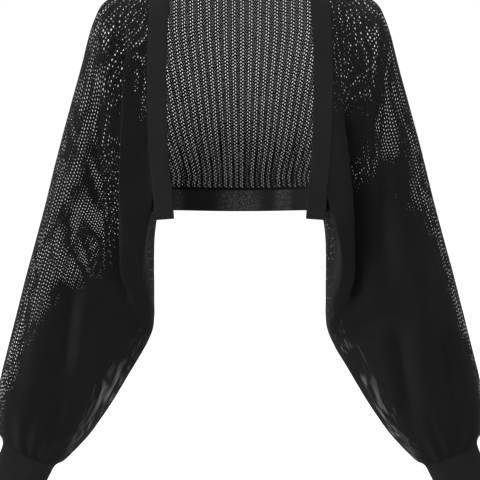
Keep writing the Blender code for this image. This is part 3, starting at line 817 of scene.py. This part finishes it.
def shell(name, grid, normals, trims, around):
    """A band of even thickness with rounded edges, on a grid of its middle.

    Rows go across the band and columns along it, and around says the columns close in a
    ring, as a cuff's do. A cuff's stitches lie square to a band's."""
    rows, columns = grid.shape[:2]
    half = trims.thickness / MM / 2
    stitch = np.array(trims.stitch) / MM
    if around:
        stitch = stitch[::-1]
    across = unit_rows(np.gradient(grid, axis=0))
    loop = []
    for turn in (1, -1):
        for i in range(rows)[::turn]:
            inset = half * (int(i == 0) - int(i == rows - 1))
            loop.append(grid[i] + normals[i] * half * turn + across[i] * inset)
        edge = -1 if turn > 0 else 0
        for angle in EDGE_TURNS:
            bend = np.radians(angle) * turn
            way = across[edge] * (np.cos(bend) - 1) * turn + normals[edge] * np.sin(bend)
            loop.append(grid[edge] + way * half)
    loop = np.array(loop)
    count = len(loop)
    last = columns if around else columns - 1
    i, j = np.meshgrid(np.arange(count), np.arange(last), indexing="ij")
    i, j = i.ravel(), j.ravel()
    i_next, j_next = (i + 1) % count, (j + 1) % columns
    row, row_next = i * columns, i_next * columns
    faces = np.stack([row + j, row + j_next, row_next + j_next, row_next + j], axis=1)
    step = np.linalg.norm(np.roll(loop, -1, axis=0) - loop, axis=2).mean(axis=1)
    wide = np.concatenate([[0], np.cumsum(step)]) / stitch[0]
    line = grid[rows // 2]
    long = lengths(np.vstack([line, line[:1]])) / stitch[1]
    if around:
        long *= round(long[-1]) / long[-1]
    corners = [(i, j), (i, j + 1), (i + 1, j + 1), (i + 1, j)]
    places = np.stack([np.column_stack([wide[a], long[b]]) for a, b in corners], axis=1)
    caps = []
    if not around:
        ring = np.arange(count) * columns
        caps = [ring[::-1], ring + columns - 1]
    return add_mesh(name, loop.reshape(-1, 3), faces, places, yarn("fine_knit"), caps)


class Graph:
    """A short way to write a material's nodes."""

    def __init__(self, tree):
        self.tree = tree

    def add(self, kind, *links, **settings):
        node = self.tree.nodes.new(kind)
        for key, value in settings.items():
            if key.startswith("set_"):
                node.inputs[key[4:].replace("_", " ")].default_value = value
            else:
                setattr(node, key, value)
        for slot, source in links:
            self.tree.links.new(source, node.inputs[slot])
        return node

    def math(self, operation, *values):
        node = self.add("ShaderNodeMath", operation=operation)
        for socket, value in zip(node.inputs, values):
            if isinstance(value, (int, float)):
                socket.default_value = value
            else:
                self.tree.links.new(value, socket)
        return node.outputs[0]

    def total(self, *terms):
        """Adds up sources, each times its weight."""
        parts = [self.math("MULTIPLY", source, weight) for source, weight in terms]
        result = parts[0]
        for part in parts[1:]:
            result = self.math("ADD", result, part)
        return result

    def noise(self, place, scale, detail):
        node = self.add("ShaderNodeTexNoise", (0, place), set_Scale=scale, set_Detail=detail)
        return node.outputs[0]


def yarn_material(name, colour, wales, courses, depth, looks):
    """Matt yarn in knitted stitches: V-shaped loops in columns, a fuzz of fibres, and painted
    shade that makes the yarn a little darker in the hollows. wales and courses say how many
    stitches there are in one unit of the knit map."""
    material = bpy.data.materials.new(name)
    material.use_nodes = True
    tree = material.node_tree
    shader = tree.nodes["Principled BSDF"]
    shader.inputs["Sheen Weight"].default_value = looks.sheen
    shader.inputs["Sheen Roughness"].default_value = SHEEN_ROUGHNESS
    shader.inputs["Specular IOR Level"].default_value = SPECULAR
    g = Graph(tree)
    knit_map = g.add("ShaderNodeUVMap", uv_map="knit")
    parts = g.add("ShaderNodeSeparateXYZ", (0, knit_map.outputs[0]))
    place = g.add("ShaderNodeTexCoord").outputs["Object"]
    wander, fuzz, cloud, grain = [g.noise(place, *size) for size in NOISES]
    across = g.total((parts.outputs[0], wales), (wander, WANDER))
    along = g.math("MULTIPLY", parts.outputs[1], courses)
    column = g.math("PINGPONG", across, 0.5)
    leg = g.math("SINE", g.math("MULTIPLY", column, 2 * np.pi))
    loops = g.math("SINE", g.math("MULTIPLY", g.math("ADD", along, column), 2 * np.pi))
    height = g.math("MULTIPLY", leg, g.math("MULTIPLY_ADD", loops, LOOP_RELIEF))
    height = g.math("ADD", height, leg)
    # Painted shade: the stitches' height makes the yarn darker in their hollows, mixed with the
    # fibres' and clouds' random tone.
    painted_shade_and_tone = g.total(*zip((height, fuzz, cloud), STITCH_SHADE_AND_TONE))
    colours = g.add("ShaderNodeValToRGB", (0, painted_shade_and_tone))
    for end, at, share in zip(colours.color_ramp.elements, SHADE_RANGE, SHADE_COLOURS):
        end.position = at
        end.color = (*[c * share for c in colour], 1)
    # Painted light: where the knit is thin, the yarn's colour is made lighter as if light
    # showed through.
    sheer = g.add("ShaderNodeAttribute", attribute_name="sheer").outputs["Fac"]
    grain = g.math("MULTIPLY", g.math("POWER", grain, SEE_THROUGH_GRAIN), SEE_THROUGH_LIGHTNESS)
    lighter = g.math("ADD", g.math("MULTIPLY", sheer, grain), 1)
    tint = g.add(
        "ShaderNodeVectorMath", (0, colours.outputs[0]), ("Scale", lighter), operation="SCALE"
    )
    tree.links.new(tint.outputs[0], shader.inputs["Base Color"])
    rough = g.math("ADD", g.math("MULTIPLY", fuzz, FUZZ_ROUGHNESS), ROUGHNESS)
    tree.links.new(rough, shader.inputs["Roughness"])
    bump = g.add(
        "ShaderNodeBump", ("Height", height), set_Distance=depth, set_Strength=STITCH_BUMP
    )
    bump = g.add(
        "ShaderNodeBump", ("Height", fuzz), ("Normal", bump.outputs[0]),
        set_Distance=FUZZ_DEPTH, set_Strength=FUZZ_BUMP,
    )
    tree.links.new(bump.outputs[0], shader.inputs["Normal"])
    return material


def paint_see_through_light(piece, patches):
    """Marks where a piece's knit is stretched thin, to be painted lighter as painted light
    showing through it.
    """
    x = np.array([vertex.co.x for vertex in piece.data.vertices]) / MM
    sheer = sum(most * np.exp(-(((x - centre) / half) ** 4)) for centre, half, most in patches)
    mark = piece.data.attributes.new("sheer", "FLOAT", "POINT")
    mark.data.foreach_set("value", sheer)


def yarn(slot):
    """The yarn of a slot, made the first time."""
    looks = bpy.context.scene.cardigan_looks
    name = f"{slot}_yarn"
    colour, *knit = YARNS[slot]
    found = bpy.data.materials.get(name)
    return found or yarn_material(name, getattr(looks, colour), *knit, looks)


def finish_cloth(piece, node):
    """Makes a piece ride on the model in a node's place."""
    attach(piece, "root")
    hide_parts(node)


def stand(name, data, place, middle):
    """Puts up a light or a camera at a place, turned to the cardigan's middle."""
    holder = bpy.data.objects.new(name, data)
    holder.location = place
    way = Vector(middle) - Vector(place)
    holder.rotation_euler = way.to_track_quat("-Z", "Y").to_euler()
    bpy.context.scene.collection.objects.link(holder)
    return holder


def metres(name, description, default):
    """A property that holds a length."""
    return FloatProperty(name=name, description=description, default=default, unit="LENGTH")


class CardiganKnit(bpy.types.PropertyGroup):
    neck_repeat: metres(
        "Repeat at the neck", "Width of one pair at the back of the neck", 0.0118
    )
    sleeve_repeat: metres("Sleeve's repeat", "Width of one pair on a sleeve, relaxed", 0.0094)
    repeat: metres("Repeat", "Width of one pair of eyelet columns, relaxed", 0.0114)
    course: metres("Course", "Height from one eyelet to the next up a column", 0.0044)
    hem_repeat: metres(
        "Repeat at the hem", "Width of one pair where the back is gathered", 0.0072
    )
    back_fan: metres("Fan height", "Height over the hem where the back's knit is relaxed", 0.21)
    back_repeats: IntProperty(
        name="Back pairs", description="Pairs of eyelet columns across the hem", default=36,
    )
    sleeve_repeats: IntProperty(
        name="Sleeve pairs", description="Pairs of eyelet columns round a sleeve", default=52,
    )
    sleeve_courses: IntProperty(
        name="Sleeve courses", description="Courses from the body to the cuff", default=132,
    )
    back_eyelet: FloatVectorProperty(
        name="Back eyelet", description="Eyelet's width and height as shares of its cell",
        size=2, default=(0.59, 0.42),
    )
    sleeve_eyelet: FloatVectorProperty(
        name="Sleeve eyelet", description="Eyelet's width and height as shares of its cell",
        size=2, default=(0.48, 0.45),
    )
    sleeve_back_eyelet: FloatVectorProperty(
        name="Sleeve's back eyelet", description="Width and height as shares of its cell",
        size=2, default=(0.91, 0.87),
    )
    rib_height: metres("Rib height", "How far the rib between a pair stands up", 0.0003)
    bend: metres("Bend", "How far the yarn bends round an eyelet", 0.00035)
    sink: metres("Sink", "How far an eyelet's rim rolls inward", 0.00025)
    uneven: FloatProperty(
        name="Unevenness", description="How much smaller than the rest an eyelet may be",
        default=0.22, subtype="FACTOR",
    )
    least: metres("Least eyelet", "Eyelets narrower than this close up", 0.00013)


class CardiganTrims(bpy.types.PropertyGroup):
    band_width: metres(
        "Front band", "Width of the band down the front and round the neck", 0.024
    )
    hem_height: metres("Hem band", "Height of the hem band", 0.0285)
    cuff_length: metres("Cuff", "Length of a cuff", 0.060)
    thickness: metres("Thickness", "Thickness of the bands and cuffs", 0.0026)
    stitch: FloatVectorProperty(
        name="Stitch", description="Width and height of a stitch in the bands and cuffs",
        size=2, default=(0.0018, 0.0014), unit="LENGTH",
    )


class CardiganLooks(bpy.types.PropertyGroup):
    knit_colour: FloatVectorProperty(
        name="Open knit", description="Colour of the open knit's yarn",
        subtype="COLOR", default=(0.0026, 0.0026, 0.0027),
    )
    trim_colour: FloatVectorProperty(
        name="Bands", description="Colour of the bands' and cuffs' yarn",
        subtype="COLOR", default=(0.0044, 0.0044, 0.0045),
    )
    sheen: FloatProperty(
        name="Sheen", description="Soft sheen of the fibres", default=0.012, subtype="FACTOR",
    )
    floor_colour: FloatVectorProperty(
        name="Floor", description="Colour of the studio floor",
        subtype="COLOR", default=(0.86, 0.86, 0.86),
    )


class CardiganStudio(bpy.types.PropertyGroup):
    distance: metres("Camera distance", "From the camera to the cardigan's middle", 2.1)
    height: metres("Camera height", "Height of the camera", -0.21)
    aim: metres("Aim height", "Height that the camera looks at", -0.351)
    width: metres("View width", "Width of the view at the cardigan", 0.624)
    floor_height: metres("Floor height", "Height of the floor", -0.86)


class CARDIGAN_OT_sleeves(bpy.types.Operator):
    """Knits the two sleeves, each cut in one with its half of the front"""

    bl_idname = "cardigan.sleeves"
    bl_label = "Sleeves"

    def execute(self, context):
        sizes = context.scene.cardigan_knit
        lines = len(REPEAT) * sizes.sleeve_repeats
        halves = (
            (REPEAT, EYELET, sizes.sleeve_eyelet),
            (HIDDEN_REPEAT, WIDE_EYELET, sizes.sleeve_back_eyelet),
        )
        for side in ("left", "right"):
            grid, normals, opened = sleeve_lattice(side, sizes.sleeve_courses, lines)
            grid[0, :, 0] -= SEAM_LAP
            grid[-1] += cuff_axis() * (SEAM_GAP + SEAM_LAP)
            grid = mirrored(grid, side)
            normals = mirrored(normals, side)
            swayed = sway(grid, normals, len(REPEAT), sizes, True)
            swayed[[0, -1]] = grid[[0, -1]]
            opened[: PLAIN_ENDS[0]] = 0
            opened[-PLAIN_ENDS[1] :] = 0
            keep = np.ones((len(grid), lines), bool)
            piece = net(
                f"{side}_sleeve", swayed, normals, opened, keep, halves,
                sizes.sleeve_repeat, sizes,
            )
            finish_cloth(
                piece, f"sleeve_{side}",
            )
        return {"FINISHED"}


class CARDIGAN_OT_back(bpy.types.Operator):
    """Knits the back, gathered into the hem, with wales that fan out towards the neck"""

    bl_idname = "cardigan.back"
    bl_label = "Back"

    def execute(self, context):
        sizes = context.scene.cardigan_knit
        grid, reach = back_lattice(sizes)
        normals = grid_normals(grid, False)
        normals = np.where(np.isfinite(normals), normals, 0)
        swayed = sway(grid, normals, len(BACK_REPEAT), sizes, False)
        swayed[reach <= 0] = grid[reach <= 0]
        kept = reach > 0
        some = kept[:-1, :-1] | kept[:-1, 1:] | kept[1:, :-1] | kept[1:, 1:]
        keep = np.vstack([some, np.zeros((1, some.shape[1]), bool)])
        swayed[-1] = grid[-1] + [0, 0, -SEAM_LAP]
        swayed[0] = grid[0] + [0, 0, SEAM_LAP]
        rows = np.arange(len(grid))[:, None]
        opened = ramp(reach / EDGE_OPEN) * (rows > 1) * (rows < len(grid) - 2)
        rise = grid[:, :, 2] - BACK_MIDDLE[-1][1]
        opened *= HEM_OPEN + (1 - HEM_OPEN) * ramp(rise / HEM_OPEN_RISE)
        for x_hem, height, depth in BACK_GATHERS:
            away = grid[:, :, 0] - x_hem * (1 + GATHER_FAN * rise)
            window = ramp((height * GATHER_SHUT_RISE - rise) / height)
            shut = np.exp(-((away / GATHER_SHUT_WIDTH) ** 2)) * window * depth
            opened *= 1 - shut / GATHER_SHUT_DEPTH
        piece = net(
            "back_panel", swayed, normals, opened, keep,
            [(BACK_REPEAT, EYELET, sizes.back_eyelet)], sizes.repeat, sizes,
        )
        finish_cloth(
            piece, "back",
        )
        return {"FINISHED"}


class CARDIGAN_OT_front_band(bpy.types.Operator):
    """Makes the plain band that runs up one front edge, round the neck and down the other"""

    bl_idname = "cardigan.front_band"
    bl_label = "Front band"

    def execute(self, context):
        trims = context.scene.cardigan_trims
        grid, normals = band_grid(*panel_grid(BAND_COLUMNS), trims.band_width / MM)
        piece = shell("neck_and_front_band", grid, normals, trims, False)
        finish_cloth(
            piece, "front_band",
        )
        return {"FINISHED"}


class CARDIGAN_OT_hem_band(bpy.types.Operator):
    """Makes the band along the hem"""

    bl_idname = "cardigan.hem_band"
    bl_label = "Hem band"

    def execute(self, context):
        trims = context.scene.cardigan_trims
        panel = panel_grid(BAND_COLUMNS)[0]
        grid, normals = hem_grid(panel, trims.hem_height / MM)
        piece = shell("hem", grid, normals, trims, False)
        paint_see_through_light(piece, HEM_LIGHT_PATCHES)
        finish_cloth(
            piece, "hem_band"
        )
        return {"FINISHED"}


class CARDIGAN_OT_cuffs(bpy.types.Operator):
    """Makes the two cuffs"""

    bl_idname = "cardigan.cuffs"
    bl_label = "Cuffs"

    def execute(self, context):
        trims = context.scene.cardigan_trims
        for side in ("left", "right"):
            grid, normals = cuff_grid(side, trims.cuff_length / MM)
            sided = (mirrored(grid, side), mirrored(normals, side))
            piece = shell(f"{side}_cuff", *sided, trims, True)
            finish_cloth(
                piece, f"cuff_{side}",
            )
        return {"FINISHED"}


class CARDIGAN_OT_studio(bpy.types.Operator):
    """Sets up the pale floor, the soft lights and the camera"""

    bl_idname = "cardigan.studio"
    bl_label = "Studio"

    def execute(self, context):
        studio = context.scene.cardigan_studio
        looks = context.scene.cardigan_looks
        floor_material = bpy.data.materials.new("studio_floor")
        floor_material.use_nodes = True
        shader = floor_material.node_tree.nodes["Principled BSDF"]
        shader.inputs["Base Color"].default_value = (*looks.floor_colour, 1)
        shader.inputs["Roughness"].default_value = FLOOR_ROUGHNESS
        mesh = bpy.data.meshes.new("studio_floor")
        turn = np.linspace(0, 2 * np.pi, FLOOR_SIDES + 1)[:-1]
        rim = np.stack([np.cos(turn), np.sin(turn), 0 * turn], axis=1) * FLOOR_RADIUS
        rim += [0, 0, studio.floor_height]
        mesh.from_pydata(rim.tolist(), [], [list(range(FLOOR_SIDES))])
        mesh.materials.append(floor_material)
        floor = bpy.data.objects.new("studio_floor", mesh)
        context.scene.collection.objects.link(floor)
        world = bpy.data.worlds.new("studio_light")
        world.use_nodes = True
        background = world.node_tree.nodes["Background"]
        background.inputs["Color"].default_value = (1, 1, 1, 1)
        background.inputs["Strength"].default_value = WORLD_STRENGTH
        context.scene.world = world
        middle = (0, 0, studio.aim)
        for name, place, size, watts in LIGHTS:
            lamp = bpy.data.lights.new(name, "AREA")
            lamp.shape = "DISK"
            lamp.size = size
            lamp.energy = watts
            stand(name, lamp, place, middle)
        lamp = bpy.data.lights.new("ceiling_light", "SUN")
        lamp.energy = SUN_STRENGTH
        lamp.angle = np.radians(SUN_ANGLE)
        sun = stand("ceiling_light", lamp, (0, 0, 0), middle)
        sun.rotation_euler = np.radians(SUN_TILT)
        camera = bpy.data.cameras.new("studio_camera")
        camera.sensor_width = SENSOR
        camera.lens = SENSOR * studio.distance / studio.width
        place = (0, -studio.distance, studio.height)
        context.scene.camera = stand("studio_camera", camera, place, middle)
        context.scene.view_settings.view_transform = "Standard"
        return {"FINISHED"}


class CARDIGAN_PT_pieces(bpy.types.Panel):
    """Lists the cardigan's pieces and its studio"""

    bl_idname = "CARDIGAN_PT_pieces"
    bl_label = "Cardigan"
    bl_space_type = "VIEW_3D"
    bl_region_type = "UI"
    bl_category = "Cardigan"

    def draw(self, context):
        for step in STEPS:
            self.layout.operator(f"cardigan.{step}")


STEPS = ("sleeves", "back", "front_band", "hem_band", "cuffs", "studio")
GROUPS = {
    "cardigan_knit": CardiganKnit,
    "cardigan_trims": CardiganTrims,
    "cardigan_looks": CardiganLooks,
    "cardigan_studio": CardiganStudio,
}
CLASSES = (
    *GROUPS.values(),
    CARDIGAN_OT_sleeves,
    CARDIGAN_OT_back,
    CARDIGAN_OT_front_band,
    CARDIGAN_OT_hem_band,
    CARDIGAN_OT_cuffs,
    CARDIGAN_OT_studio,
    CARDIGAN_PT_pieces,
)


def register():
    for kind in CLASSES:
        bpy.utils.register_class(kind)
    for name, kind in GROUPS.items():
        setattr(bpy.types.Scene, name, PointerProperty(type=kind))


def unregister():
    for name in GROUPS:
        delattr(bpy.types.Scene, name)
    for kind in reversed(CLASSES):
        bpy.utils.unregister_class(kind)


def main():
    register()
    for step in STEPS:
        getattr(bpy.ops.cardigan, step)()


if __name__ == "__main__":
    main()
